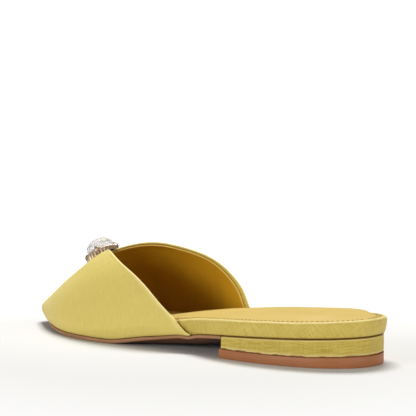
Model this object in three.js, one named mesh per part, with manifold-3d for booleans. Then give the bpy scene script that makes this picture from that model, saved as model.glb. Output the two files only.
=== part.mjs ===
// A flat slip-on mule for the left foot: fabric vamp with a peaked throat, fabric-wrapped footbed,
// padded sock, low wrapped heel with a tan top lift, thin tan outsole and a round jewel on the vamp.
// Millimetres, +Z up, +X towards the toe, +Y towards the wearer's left, standing on its sole.
// Stations are distances forward from the back of the heel; the whole shoe is centred at the end.

import * as THREE from 'three';
import { mergeVertices } from 'three/addons/utils/BufferGeometryUtils.js';
import Module from 'manifold-3d';

// Driving sizes
const LENGTH = 250;            // outline of the sole, heel to toe
const FIT_GAP = 0.3;           // between pieces that touch
const SOLE_THICK = 1.8;        // tan outsole
const SOLE_BEVEL = 0.7;        // how far its lower edge is rounded in
const SOLE_BEVEL_HEIGHT = 0.6; // and how far up
const FOOTBED_BACK = 7.8;      // depth of the footbed's side behind the vamp
const FOOTBED_TOE = 4.6;       // and inside the toe
const FOOTBED_HANG = 0.9;      // share of the outsole's sag that its underside follows
const FOOTBED_FLARE = 1.3;     // how far its top edge stands out over the heel
const FOOTBED_SKIRT = 3;       // height at which most of that flare is reached
const FOOTBED_TIP = 4;         // extra inset under the tip of the toe
const SOCK_THICK = 0.9;        // edge of the padded sock
const SOCK_CROWN = 0.9;        // how much higher its middle is
const SOCK_INSET = 2.6;        // sock edge inside the footbed's edge
const SOCK_TIP = 1.5;          // extra inset towards the toe
const WALL = 1.8;              // vamp: fabric, backing and lining
const HEEL_BREAST = 74.4;      // station of the heel's front face
const LIFT_THICK = 5.7;        // tan top lift
const LIFT_FORWARD = 1.8;      // how far it reaches ahead of the heel block
const HEEL_INSET = 0.3;        // heel block and lift inside the footbed's outline
const VAMP_LAP = 1.2;          // how far the vamp stands outside the footbed at its rear edge
const VAMP_BULGE = 1.5;        // swell of the vamp over the sole's edge
const TOE_NOSE = 0.6;          // the same at the tip of the toe
const BULGE_HEIGHT = 7;        // height over which the swell comes in
const FULL_LATERAL = 1.9;      // fullness of the vamp's arch, outer half
const FULL_MEDIAL = 2.35;      // and inner half, 2 being an ellipse
const JEWEL_STATION = 196.2;   // middle of the jewel along the ridge
const JEWEL_RADIUS = 9.5;      // outer radius of its setting
const JEWEL_LEAN = 3.5;        // degrees it tips towards the toe from the vamp's own slope
const PLATE_THICK = 0.8;       // plate under the setting
const PLATE_INSET = 1.0;       // plate edge inside the setting's edge
const SETTING_WALL = 1.4;      // ring of the setting
const SETTING_HEAD = 2.8;      // height of the ring's top above the jewel's foot
const SETTING_RIBS = 28;
const RIB_DEPTH = 0.33;
const CLAWS = 4;
const CLAW_WIDTH = 3.0;
const CRYSTAL_FACETS = 12;     // around
const CRYSTAL_TOP = 8.8;       // height of the dome above the jewel's foot

// Half widths of the sole: outer (lateral) and inner (medial) side of the heel's centre line
const OUTLINE = [
  { station: 0, lateral: 0, medial: 0 },
  { station: 15, lateral: 22.2, medial: 24.6 },
  { station: 40, lateral: 31.0, medial: 29.7 },
  { station: 75, lateral: 32.4, medial: 28.0 },
  { station: 110, lateral: 30.0, medial: 22.6 },
  { station: 140, lateral: 34.2, medial: 31.4 },
  { station: 165, lateral: 37.0, medial: 36.8 },
  { station: 190, lateral: 33.8, medial: 36.4 },
  { station: 215, lateral: 24.2, medial: 27.2 },
  { station: 235, lateral: 11.7, medial: 16.6 },
  { station: 250, lateral: -4.0, medial: 4.0 },
];

// Underside of the outsole: height of its edge at the heel seat, arch, flat tread and toe spring,
// and how far its middle hangs below the edge, which rounds the waist
const UNDERSIDE = [
  { station: 0, height: 13.6, sag: 0 },
  { station: 70, height: 10.3, sag: 0 },
  { station: 100, height: 7.8, sag: 4.6 },
  { station: 130, height: 3.8, sag: 3.2 },
  { station: 158, height: 0, sag: 0 },
  { station: 192, height: 0, sag: 0 },
  { station: 220, height: 2.0, sag: 0.4 },
  { station: 250, height: 5.8, sag: 0 },
];

// Ridge of the vamp above the sole's edge, and how far it lies off the middle towards the outside
const RIDGE = [
  { station: 95, height: 50, offset: 2.0 },
  { station: 125, height: 49, offset: 3.6 },
  { station: 150, height: 51.5, offset: 4.2 },
  { station: 175, height: 48.6, offset: 3.4 },
  { station: 200, height: 37.3, offset: 2.2 },
  { station: 220, height: 24.2, offset: 0.4 },
  { station: 235, height: 12.9, offset: -1.2 },
  { station: 245, height: 6.0, offset: -0.8 },
  { station: 250, height: 0, offset: 0 },
];

// Rear edge of the vamp: turn is the angle up from the sole's edge, 90 being the ridge
const TOPLINE = [
  { turn: 0, lateral: 98.4, medial: 100.4 },
  { turn: 9, lateral: 107.8, medial: 106.4 },
  { turn: 20, lateral: 119.2, medial: 110.8 },
  { turn: 32, lateral: 130.8, medial: 117.8 },
  { turn: 45, lateral: 145.8, medial: 128.4 },
  { turn: 58, lateral: 163.4, medial: 145.0 },
  { turn: 70, lateral: 175.6, medial: 159.8 },
  { turn: 80, lateral: 184.6, medial: 174.2 },
  { turn: 90, lateral: 192.2, medial: 192.2 },
];

// Rounded top edge of the footbed, from its side inwards over the top
const FOOTBED_EDGE = [
  { drop: 1.6, inwards: 0 },
  { drop: 0.5, inwards: 0.45 },
  { drop: 0, inwards: 1.6 },
];

// Rings of the crystal: share of its widest radius and height above the jewel's foot
const CRYSTAL = [
  { share: 0.45, height: 1.3 },
  { share: 0.92, height: 2.3 },
  { share: 1.0, height: 3.2 },
  { share: 0.89, height: 5.8 },
  { share: 0.54, height: 8.1 },
];

const COLOURS = {
  fabric: 0xd6c565,
  sock: 0xe0c57a,
  tan: 0xa8744e,
  gold: 0xb0895a,
  crystal: 0xeef0ee,
};

const lerp = THREE.MathUtils.lerp;
const ease = THREE.MathUtils.smoothstep;
const column = (rows, name) => rows.map((row) => row[name]);

// Natural cubic spline through (xs, ys)
function naturalSpline(xs, ys) {
  const last = xs.length - 1;
  const bend = new Array(last + 1).fill(0);
  const carry = new Array(last + 1).fill(0);
  for (let i = 1; i < last; i += 1) {
    const share = (xs[i] - xs[i - 1]) / (xs[i + 1] - xs[i - 1]);
    const pivot = share * bend[i - 1] + 2;
    const right = (ys[i + 1] - ys[i]) / (xs[i + 1] - xs[i]);
    const left = (ys[i] - ys[i - 1]) / (xs[i] - xs[i - 1]);
    bend[i] = (share - 1) / pivot;
    carry[i] = ((6 * (right - left)) / (xs[i + 1] - xs[i - 1]) - share * carry[i - 1]) / pivot;
  }
  const second = new Array(last + 1).fill(0);
  for (let i = last - 1; i > 0; i -= 1) second[i] = bend[i] * second[i + 1] + carry[i];
  return (x) => {
    let i = 0;
    while (i < last - 1 && x > xs[i + 1]) i += 1;
    const step = xs[i + 1] - xs[i];
    const a = (xs[i + 1] - x) / step;
    const b = (x - xs[i]) / step;
    const curve = (a ** 3 - a) * second[i] + (b ** 3 - b) * second[i + 1];
    return a * ys[i] + b * ys[i + 1] + (curve * step * step) / 6;
  };
}

// Curve through (xs, ys) that never overshoots, so level stretches stay level
function levelSpline(xs, ys) {
  const last = xs.length - 1;
  const slope = xs.slice(1).map((x, i) => (ys[i + 1] - ys[i]) / (x - xs[i]));
  const tangent = xs.map((x, i) => {
    if (i === 0) return slope[0];
    if (i === last) return slope[last - 1];
    if (slope[i - 1] * slope[i] <= 0) return 0;
    return (2 * slope[i - 1] * slope[i]) / (slope[i - 1] + slope[i]);
  });
  return (x) => {
    const at = THREE.MathUtils.clamp(x, xs[0], xs[last]);
    let i = 0;
    while (i < last - 1 && at > xs[i + 1]) i += 1;
    const step = xs[i + 1] - xs[i];
    const t = (at - xs[i]) / step;
    return (2 * t ** 3 - 3 * t ** 2 + 1) * ys[i] + (t ** 3 - 2 * t ** 2 + t) * step * tangent[i]
      + (3 * t ** 2 - 2 * t ** 3) * ys[i + 1] + (t ** 3 - t ** 2) * step * tangent[i + 1];
  };
}

// Round ends need a vertical tangent there, so lengthwise curves run over an angle instead
const sweepOf = (station) => Math.acos(THREE.MathUtils.clamp(1 - (2 * station) / LENGTH, -1, 1));
const stationOf = (sweep) => (LENGTH * (1 - Math.cos(sweep))) / 2;

const outlineSweeps = column(OUTLINE, 'station').map(sweepOf);
const halfWidth = {
  lateral: naturalSpline(outlineSweeps, column(OUTLINE, 'lateral')),
  medial: naturalSpline(outlineSweeps, column(OUTLINE, 'medial')),
};
const underside = levelSpline(column(UNDERSIDE, 'station'), column(UNDERSIDE, 'height'));
const sag = levelSpline(column(UNDERSIDE, 'station'), column(UNDERSIDE, 'sag'));
const featherHeight = (station) => underside(station) + SOLE_THICK + FIT_GAP;
const ridgeSweeps = column(RIDGE, 'station').map(sweepOf);
const ridgeHeight = naturalSpline(ridgeSweeps, column(RIDGE, 'height'));
const ridgeOffset = naturalSpline(ridgeSweeps, column(RIDGE, 'offset'));
const turns = column(TOPLINE, 'turn');
const topline = {
  lateral: naturalSpline(turns, column(TOPLINE, 'lateral')),
  medial: naturalSpline(turns, column(TOPLINE, 'medial')),
};
// The vamp laps over the footbed at its rear edge and meets the sole's outline by the ball
const vampLap = (station) => VAMP_LAP * (1 - ease(station, 100, 138));

// Edge of the sole at an angle, moved outwards by a distance
function edgePoint(side, sweep, outwards) {
  const sign = side === 'lateral' ? 1 : -1;
  const delta = 1e-4;
  const before = Math.max(0, sweep - delta);
  const after = Math.min(Math.PI, sweep + delta);
  const alongX = stationOf(after) - stationOf(before);
  const alongY = sign * (halfWidth[side](after) - halfWidth[side](before));
  const size = Math.hypot(alongX, alongY);
  return {
    x: stationOf(sweep) - (sign * alongY * outwards) / size,
    y: sign * halfWidth[side](sweep) + (sign * alongX * outwards) / size,
  };
}

// The angle at which the moved edge reaches a station
function sweepAt(side, outwards, station) {
  let low = 0;
  let high = Math.PI;
  for (let i = 0; i < 40; i += 1) {
    const middle = (low + high) / 2;
    if (edgePoint(side, middle, outwards).x < station) low = middle;
    else high = middle;
  }
  return (low + high) / 2;
}

// Closed mesh from triangles given as point triples; equal points become one
function closedMesh(triangles) {
  const geometry = new THREE.BufferGeometry();
  geometry.setAttribute('position', new THREE.Float32BufferAttribute(triangles.flat(2), 3));
  const merged = mergeVertices(geometry, 1e-3);
  const index = merged.getIndex().array;
  const kept = [];
  for (let i = 0; i < index.length; i += 3) {
    const [a, b, c] = [index[i], index[i + 1], index[i + 2]];
    if (a !== b && b !== c && c !== a) kept.push(a, b, c);
  }
  merged.setIndex(kept);
  return merged;
}

function pushQuad(triangles, a, b, c, d) {
  triangles.push([a, b, c], [a, c, d]);
}

// Solid between closed loops of equal length, with flat fans over the first and last
function loftLoops(loops) {
  const triangles = [];
  const size = loops[0].length;
  for (let i = 0; i < loops.length - 1; i += 1) {
    for (let j = 0; j < size; j += 1) {
      const k = (j + 1) % size;
      pushQuad(triangles, loops[i][j], loops[i][k], loops[i + 1][k], loops[i + 1][j]);
    }
  }
  const cap = (loop, flip) => {
    const middle = [0, 1, 2].map((axis) => loop.reduce((sum, p) => sum + p[axis], 0) / size);
    for (let j = 0; j < size; j += 1) {
      const k = (j + 1) % size;
      triangles.push(flip ? [middle, loop[k], loop[j]] : [middle, loop[j], loop[k]]);
    }
  };
  cap(loops[0], true);
  cap(loops[loops.length - 1], false);
  return closedMesh(triangles);
}

// Sole-like solid: ribs across the shoe from one station to another. Each corner of a rib says how
// far it lies outside the outline, how far across it is and its height at a station.
function ribbedSolid({ from = null, to = null, ribs, corners }) {
  const loops = [];
  for (let i = 0; i <= ribs; i += 1) {
    loops.push(corners.map((corner) => {
      const flat = typeof corner.out === 'number' ? corner.out : 0;
      const ends = ['lateral', 'medial'].map((side) => {
        const start = from === null ? 0 : sweepAt(side, flat, from);
        const end = to === null ? Math.PI : sweepAt(side, flat, to);
        const sweep = lerp(start, end, i / ribs);
        const out = typeof corner.out === 'number' ? corner.out : corner.out(stationOf(sweep));
        return edgePoint(side, sweep, out);
      });
      const x = lerp(ends[0].x, ends[1].x, corner.across);
      return [x, lerp(ends[0].y, ends[1].y, corner.across), corner.height(x)];
    }));
  }
  return loftLoops(loops);
}

// Corners across a rib at shares of its width, bowed up or down in the middle
function crossing(shares, step, bow) {
  return shares.map((share) => ({
    across: share,
    out: step.out,
    height: (x) => step.height(x) + bow(x) * (1 - (2 * share - 1) ** 2),
  }));
}

// Corners of a rib: up the lateral side, over the top, down the medial side and back underneath
function ribCorners(sideSteps, over = [], under = []) {
  const up = sideSteps.map((step) => ({ across: 0, ...step }));
  const down = sideSteps.map((step) => ({ across: 1, ...step })).reverse();
  return [...up, ...over, ...down, ...under];
}

const ACROSS = [0.08, 0.2, 0.35, 0.5, 0.65, 0.8, 0.92];
const ACROSS_BACK = [...ACROSS].reverse();
const hang = (x) => -sag(x);

function outsoleGeometry() {
  const foot = { out: -SOLE_BEVEL, height: underside };
  const bevel = { out: 0, height: (x) => underside(x) + SOLE_BEVEL_HEIGHT };
  const head = { out: 0, height: (x) => underside(x) + SOLE_THICK };
  return ribbedSolid({
    from: HEEL_BREAST + FIT_GAP,
    ribs: 34,
    corners: ribCorners(
      [foot, bevel, head],
      crossing(ACROSS, head, hang),
      crossing(ACROSS_BACK, foot, hang),
    ),
  });
}

// Under the vamp the footbed is set in by the wall, and it thins towards the toe
const footbedOut = (x) => -(WALL + 1.6 * FIT_GAP - VAMP_LAP) * ease(x, 80, 97)
  - VAMP_LAP * ease(x, 100, 138) - FOOTBED_TIP * ease(x, 222, 250);
const footbedFlare = (x) => FOOTBED_FLARE * (1 - ease(x, 60, 96));
const footbedTop = (x) => featherHeight(x) + lerp(FOOTBED_BACK, FOOTBED_TOE, ease(x, 120, 225));

function footbedGeometry() {
  const edge = FOOTBED_EDGE.map(({ drop, inwards }) => ({
    out: (x) => footbedOut(x) + footbedFlare(x) - inwards,
    height: (x) => footbedTop(x) - drop,
  }));
  const foot = { out: footbedOut, height: featherHeight };
  const side = {
    out: (x) => footbedOut(x) + 0.7 * footbedFlare(x),
    height: (x) => featherHeight(x) + FOOTBED_SKIRT,
  };
  return ribbedSolid({
    ribs: 44,
    corners: ribCorners(
      [foot, side, ...edge],
      [],
      crossing(ACROSS_BACK, foot, (x) => FOOTBED_HANG * hang(x)),
    ),
  });
}

function sockGeometry() {
  const out = (x) => footbedOut(x) + footbedFlare(x) - SOCK_INSET - SOCK_TIP * ease(x, 190, 240);
  const floor = (x) => footbedTop(x) + FIT_GAP;
  const top = { out, height: (x) => floor(x) + SOCK_THICK };
  return ribbedSolid({
    ribs: 44,
    corners: ribCorners([{ out, height: floor }, top], crossing(ACROSS, top, () => SOCK_CROWN)),
  });
}

function heelBlockGeometry() {
  const foot = { out: -HEEL_INSET, height: () => LIFT_THICK };
  const head = { out: -HEEL_INSET, height: (x) => featherHeight(x) - FIT_GAP };
  return ribbedSolid({
    to: HEEL_BREAST,
    ribs: 22,
    corners: ribCorners([foot, head], crossing(ACROSS, head, hang)),
  });
}

function topLiftGeometry() {
  return ribbedSolid({
    to: HEEL_BREAST + LIFT_FORWARD,
    ribs: 22,
    corners: ribCorners([0, LIFT_THICK].map((z) => ({ out: -HEEL_INSET, height: () => z }))),
  });
}

// Outer surface of the vamp: turn 0 is the lateral edge, 90 the ridge and 180 the medial edge
function vampPoint(station, turn) {
  const angle = THREE.MathUtils.degToRad(turn);
  const sweep = sweepOf(station);
  const lateral = turn <= 90;
  const sign = lateral ? 1 : -1;
  const full = lateral ? FULL_LATERAL : FULL_MEDIAL;
  const sideways = Math.abs(Math.cos(angle)) ** (2 / full);
  const upwards = Math.abs(Math.sin(angle)) ** (2 / full);
  const outer = halfWidth.lateral(sweep) + vampLap(station);
  const inner = halfWidth.medial(sweep) + vampLap(station);
  const ridgeY = (halfWidth.lateral(sweep) - halfWidth.medial(sweep)) / 2 + ridgeOffset(sweep);
  const reach = lateral ? outer - ridgeY : inner + ridgeY;
  const rise = upwards * Math.max(0, ridgeHeight(sweep));
  const swell = ease(rise, 0, BULGE_HEIGHT);
  const room = Math.sqrt(THREE.MathUtils.clamp((LENGTH - station) / 40, 0, 1)) * ease(station, 100, 140);
  const nose = THREE.MathUtils.clamp((station - 195) / 55, 0, 1) ** 2;
  return new THREE.Vector3(
    station + TOE_NOSE * nose * swell,
    ridgeY + sign * sideways * (reach + VAMP_BULGE * swell * room),
    featherHeight(station) + rise,
  );
}

function vampNormal(station, turn) {
  const ahead = Math.min(station + 0.05, LENGTH - 1e-3);
  const along = vampPoint(ahead, turn).sub(vampPoint(ahead - 0.1, turn));
  const low = Math.max(0.01, turn - 0.5);
  const high = Math.min(179.99, turn + 0.5);
  const around = vampPoint(station, high).sub(vampPoint(station, low));
  return around.cross(along).normalize();
}

function vampGeometry() {
  const turnSteps = 40;
  const lengthSteps = 26;
  const grid = [];
  for (let i = 0; i <= turnSteps; i += 1) {
    const turn = (180 * i) / turnSteps;
    const start = turn <= 90 ? topline.lateral(turn) : topline.medial(180 - turn);
    const row = [];
    for (let j = 0; j < lengthSteps; j += 1) {
      const station = stationOf(lerp(sweepOf(start), Math.PI, j / lengthSteps));
      const outer = vampPoint(station, turn);
      const normal = vampNormal(station, turn);
      if (turn === 0 || turn === 180) normal.setZ(0).normalize();
      const inner = outer.clone().addScaledVector(normal, -WALL);
      row.push([outer.toArray(), inner.toArray()]);
    }
    const tip = vampPoint(LENGTH, 90);
    row.push([tip.toArray(), [tip.x - WALL, tip.y, tip.z]]);
    grid.push(row);
  }
  const triangles = [];
  for (let i = 0; i < turnSteps; i += 1) {
    for (let j = 0; j < lengthSteps; j += 1) {
      const corners = [grid[i][j], grid[i][j + 1], grid[i + 1][j + 1], grid[i + 1][j]];
      pushQuad(triangles, ...corners.map((c) => c[0]).reverse());
      pushQuad(triangles, ...corners.map((c) => c[1]));
    }
    pushQuad(triangles, grid[i][0][0], grid[i][0][1], grid[i + 1][0][1], grid[i + 1][0][0]);
  }
  for (let j = 0; j < lengthSteps; j += 1) {
    const low = grid[0];
    const high = grid[turnSteps];
    pushQuad(triangles, low[j][0], low[j + 1][0], low[j + 1][1], low[j][1]);
    pushQuad(triangles, high[j][0], high[j][1], high[j + 1][1], high[j + 1][0]);
  }
  return closedMesh(triangles);
}

// The jewel is made upright about its own axis, with its foot at height 0
function backPlateGeometry() {
  const radius = JEWEL_RADIUS - PLATE_INSET;
  const rows = [[0, 0], [radius, 0], [radius, PLATE_THICK], [0, PLATE_THICK]];
  return new THREE.LatheGeometry(rows.map(([r, z]) => new THREE.Vector2(r, z)), 40);
}

const wasm = await Module();
wasm.setup();

function toSolid(geometry) {
  const bare = geometry.clone();
  bare.deleteAttribute('normal');
  bare.deleteAttribute('uv');
  const merged = mergeVertices(bare, 1e-4);
  return new wasm.Manifold(new wasm.Mesh({
    numProp: 3,
    vertProperties: new Float32Array(merged.getAttribute('position').array),
    triVerts: new Uint32Array(merged.getIndex().array),
  }));
}

function fromSolid(solid) {
  const mesh = solid.getMesh();
  const geometry = new THREE.BufferGeometry();
  geometry.setAttribute('position', new THREE.Float32BufferAttribute(mesh.vertProperties, 3));
  geometry.setIndex([...mesh.triVerts]);
  return geometry;
}

// Ring with upright ribs and wide claws that fold over the crystal's edge
function settingGeometry() {
  const inside = JEWEL_RADIUS - SETTING_WALL;
  const base = PLATE_THICK + FIT_GAP;
  const profile = [[inside, base], [JEWEL_RADIUS, base], [JEWEL_RADIUS, SETTING_HEAD - 0.6],
    [JEWEL_RADIUS - 0.5, SETTING_HEAD], [inside, SETTING_HEAD], [inside, base]];
  const ring = new THREE.LatheGeometry(profile.map(([r, z]) => new THREE.Vector2(r, z)), 4 * SETTING_RIBS);
  const spot = ring.getAttribute('position');
  for (let i = 0; i < spot.count; i += 1) {
    const x = spot.getX(i);
    const y = spot.getZ(i);
    const radius = Math.hypot(x, y);
    if (radius < JEWEL_RADIUS - 0.1) continue;
    const depth = (RIB_DEPTH * (1 - Math.cos(SETTING_RIBS * Math.atan2(y, x)))) / 2;
    spot.setX(i, x * (1 - depth / radius));
    spot.setZ(i, y * (1 - depth / radius));
  }
  let casting = toSolid(ring);
  for (let i = 0; i < CLAWS; i += 1) {
    const shape = new THREE.Shape([[inside - 0.1, base + 0.3], [JEWEL_RADIUS + 0.3, base + 0.3],
      [JEWEL_RADIUS + 0.3, SETTING_HEAD + 0.3], [JEWEL_RADIUS - 0.7, SETTING_HEAD + 1.5],
      [inside - 0.1, SETTING_HEAD + 1.3]].map(([r, z]) => new THREE.Vector2(r, z)));
    const claw = new THREE.ExtrudeGeometry(shape, { depth: CLAW_WIDTH, bevelEnabled: false });
    claw.translate(0, 0, -CLAW_WIDTH / 2);
    claw.rotateY((2 * Math.PI * (i + 0.5)) / CLAWS);
    casting = casting.add(toSolid(claw));
  }
  return fromSolid(casting);
}

// Domed stone: rings of facets, each turned half a step from the one below
function crystalGeometry() {
  const girdle = JEWEL_RADIUS - SETTING_WALL - FIT_GAP;
  const loops = CRYSTAL.map(({ share, height }, k) => {
    const loop = [];
    for (let i = 0; i < CRYSTAL_FACETS; i += 1) {
      const angle = (2 * Math.PI * (i + (k % 2) / 2)) / CRYSTAL_FACETS;
      loop.push([girdle * share * Math.sin(angle), height, girdle * share * Math.cos(angle)]);
    }
    return loop;
  });
  const triangles = [];
  for (let k = 0; k < loops.length - 1; k += 1) {
    const shift = k % 2;
    for (let i = 0; i < CRYSTAL_FACETS; i += 1) {
      const j = (i + 1) % CRYSTAL_FACETS;
      const [low, high] = [loops[k], loops[k + 1]];
      if (shift) triangles.push([low[i], low[j], high[j]], [low[i], high[j], high[i]]);
      else triangles.push([low[i], low[j], high[i]], [low[j], high[j], high[i]]);
    }
  }
  const fan = (loop, height, flip) => {
    const middle = [0, height, 0];
    loop.forEach((p, i) => {
      const q = loop[(i + 1) % loop.length];
      triangles.push(flip ? [middle, q, p] : [middle, p, q]);
    });
  };
  fan(loops[0], CRYSTAL[0].height, true);
  fan(loops[loops.length - 1], CRYSTAL_TOP, false);
  return closedMesh(triangles);
}

const finishes = Object.fromEntries(Object.entries(COLOURS).map(([name, color]) => [name,
  new THREE.MeshStandardMaterial({
    color,
    roughness: { fabric: 0.7, sock: 0.6, tan: 0.55, gold: 0.3, crystal: 0.05 }[name],
    metalness: name === 'gold' ? 1 : 0,
  })]));

function part(name, geometry, finish) {
  const mesh = new THREE.Mesh(geometry, finishes[finish]);
  mesh.name = name;
  return mesh;
}

const shoe = new THREE.Group();
shoe.add(
  part('outsole', outsoleGeometry(), 'tan'),
  part('footbed', footbedGeometry(), 'fabric'),
  part('insole_sock', sockGeometry(), 'sock'),
  part('vamp', vampGeometry(), 'fabric'),
  part('heel_block', heelBlockGeometry(), 'fabric'),
  part('heel_top_lift', topLiftGeometry(), 'tan'),
);

const jewel = new THREE.Group();
jewel.add(
  part('ornament_back_plate', backPlateGeometry(), 'gold'),
  part('ornament_setting', settingGeometry(), 'gold'),
  part('ornament_crystal', crystalGeometry(), 'crystal'),
);
const seat = vampPoint(JEWEL_STATION, 90);
const lean = vampNormal(JEWEL_STATION, 90);
const dip = (JEWEL_RADIUS - PLATE_INSET) * Math.sin(THREE.MathUtils.degToRad(JEWEL_LEAN));
jewel.position.copy(seat).addScaledVector(lean, FIT_GAP + dip);
jewel.quaternion.setFromUnitVectors(new THREE.Vector3(0, 1, 0), lean);
jewel.rotateOnWorldAxis(new THREE.Vector3(0, 1, 0), THREE.MathUtils.degToRad(JEWEL_LEAN));
shoe.add(jewel);

// Centre the shoe over the origin
shoe.updateMatrixWorld(true);
const bounds = new THREE.Box3().setFromObject(shoe);
const middle = bounds.getCenter(new THREE.Vector3());
shoe.position.set(-middle.x, -middle.y, -bounds.min.z);

export default shoe;
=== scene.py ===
# A flat fabric mule for the left foot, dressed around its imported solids.
# Shapes are worked out in millimetres, as stations forward from the back of the heel, and are moved
# into the frame, in metres, as each piece is made.

import math
from functools import partial

import bmesh
import bpy
import numpy as np
from mathutils import Matrix, Vector


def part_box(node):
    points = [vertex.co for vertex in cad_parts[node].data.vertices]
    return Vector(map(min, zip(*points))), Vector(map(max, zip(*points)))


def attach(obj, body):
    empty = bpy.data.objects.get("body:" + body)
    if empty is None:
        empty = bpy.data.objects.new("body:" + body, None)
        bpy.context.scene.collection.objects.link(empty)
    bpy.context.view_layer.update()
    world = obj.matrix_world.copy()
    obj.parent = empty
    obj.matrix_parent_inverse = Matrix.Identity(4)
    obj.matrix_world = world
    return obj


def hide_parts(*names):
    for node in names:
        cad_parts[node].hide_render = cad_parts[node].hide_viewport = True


MM = 0.001

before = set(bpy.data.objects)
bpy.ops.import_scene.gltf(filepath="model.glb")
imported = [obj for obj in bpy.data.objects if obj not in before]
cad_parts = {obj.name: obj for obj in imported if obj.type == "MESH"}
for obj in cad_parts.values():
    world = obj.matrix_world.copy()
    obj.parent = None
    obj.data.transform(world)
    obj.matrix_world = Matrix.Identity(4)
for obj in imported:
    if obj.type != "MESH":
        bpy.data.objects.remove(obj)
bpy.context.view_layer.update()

# Driving sizes of the shoe, in millimetres
LENGTH = 250
FIT_GAP = 0.3
SOLE_THICK = 1.8
FOOTBED_BACK = 7.8
FOOTBED_TOE = 4.6
FOOTBED_FLARE = 1.3
FOOTBED_HANG = 0.9
FOOTBED_TIP = 4
SOCK_INSET = 2.6
SOCK_TIP = 1.5
WALL = 1.8
HEEL_BREAST = 74.4
LIFT_THICK = 5.7
LIFT_FORWARD = 1.8
HEEL_INSET = 0.3
VAMP_LAP = 1.2
VAMP_BULGE = 1.5
TOE_NOSE = 0.6
BULGE_HEIGHT = 7
FULL_LATERAL = 1.9
FULL_MEDIAL = 2.35

# Half widths of the sole on its outer (lateral) and inner (medial) side
OUTLINE = (
    # station, lateral, medial
    (0, 0, 0),
    (15, 22.2, 24.6),
    (40, 31.0, 29.7),
    (75, 32.4, 28.0),
    (110, 30.0, 22.6),
    (140, 34.2, 31.4),
    (165, 37.0, 36.8),
    (190, 33.8, 36.4),
    (215, 24.2, 27.2),
    (235, 11.7, 16.6),
    (250, -4.0, 4.0),
)

# Underside of the outsole and how far its middle hangs below its edge
UNDERSIDE = (
    # station, height, sag
    (0, 13.6, 0),
    (70, 10.3, 0),
    (100, 7.8, 4.6),
    (130, 3.8, 3.2),
    (158, 0, 0),
    (192, 0, 0),
    (220, 2.0, 0.4),
    (250, 5.8, 0),
)

# Ridge of the vamp above the sole's edge, and how far it lies off the middle towards the outside
RIDGE = (
    # station, height, offset
    (95, 50, 2.0),
    (125, 49, 3.6),
    (150, 51.5, 4.2),
    (175, 48.6, 3.4),
    (200, 37.3, 2.2),
    (220, 24.2, 0.4),
    (235, 12.9, -1.2),
    (245, 6.0, -0.8),
    (250, 0, 0),
)

# Rear edge of the vamp: turn is the angle up from the sole's edge, 90 being the ridge
TOPLINE = (
    # turn, lateral, medial
    (0, 98.4, 100.4),
    (9, 107.8, 106.4),
    (20, 119.2, 110.8),
    (32, 130.8, 117.8),
    (45, 145.8, 128.4),
    (58, 163.4, 145.0),
    (70, 175.6, 159.8),
    (80, 184.6, 174.2),
    (90, 192.2, 192.2),
)


def natural_spline(xs, ys):
    """Natural cubic spline through (xs, ys)."""
    gaps = np.diff(xs)
    system = np.eye(len(xs))
    right = np.zeros(len(xs))
    for i in range(1, len(xs) - 1):
        system[i, i - 1:i + 2] = gaps[i - 1], 2 * (gaps[i - 1] + gaps[i]), gaps[i]
        right[i] = 6 * ((ys[i + 1] - ys[i]) / gaps[i] - (ys[i] - ys[i - 1]) / gaps[i - 1])
    second = np.linalg.solve(system, right)

    def curve(x):
        i = np.clip(np.searchsorted(xs, x, side="right") - 1, 0, len(gaps) - 1)
        a = (xs[i + 1] - x) / gaps[i]
        b = (x - xs[i]) / gaps[i]
        bend = ((a**3 - a) * second[i] + (b**3 - b) * second[i + 1]) * gaps[i] ** 2 / 6
        return a * ys[i] + b * ys[i + 1] + bend

    return curve


def level_spline(xs, ys):
    """Curve through (xs, ys) that never overshoots, so level stretches stay level."""
    gaps = np.diff(xs)
    slope = np.diff(ys) / gaps
    tangent = np.zeros(len(xs))
    tangent[0] = slope[0]
    tangent[-1] = slope[-1]
    for i in range(1, len(xs) - 1):
        if slope[i - 1] * slope[i] > 0:
            tangent[i] = 2 * slope[i - 1] * slope[i] / (slope[i - 1] + slope[i])

    def curve(x):
        at = np.clip(x, xs[0], xs[-1])
        i = np.clip(np.searchsorted(xs, at, side="right") - 1, 0, len(gaps) - 1)
        t = (at - xs[i]) / gaps[i]
        ends = (2 * t**3 - 3 * t**2 + 1) * ys[i] + (3 * t**2 - 2 * t**3) * ys[i + 1]
        lean = (t**3 - 2 * t**2 + t) * tangent[i] + (t**3 - t**2) * tangent[i + 1]
        return ends + lean * gaps[i]

    return curve


def ease(x, start, end):
    """Smooth step from 0 at start to 1 at end."""
    t = np.clip((x - start) / (end - start), 0, 1)
    return t * t * (3 - 2 * t)


def lerp(a, b, t):
    return a + (b - a) * t


def sweep_of(station):
    """Lengthwise curves run over an angle, so that round ends have an upright tangent."""
    return np.arccos(np.clip(1 - 2 * np.asarray(station, float) / LENGTH, -1, 1))


def station_of(sweep):
    return LENGTH * (1 - np.cos(sweep)) / 2


def curves(table, kind=natural_spline, rounded=False):
    """A curve for each further column of a table against its first, as stations or as sweeps."""
    first, *others = np.array(table, float).T
    if rounded:
        first = sweep_of(first)
    return [kind(first, values) for values in others]


half_width = dict(zip(("lateral", "medial"), curves(OUTLINE, rounded=True)))
underside, sag = curves(UNDERSIDE, level_spline)
ridge_height, ridge_offset = curves(RIDGE, rounded=True)
topline = curves(TOPLINE)


def sole_top(station):
    """Top of the outsole, with the gap over it."""
    return underside(station) + SOLE_THICK + FIT_GAP


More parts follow.
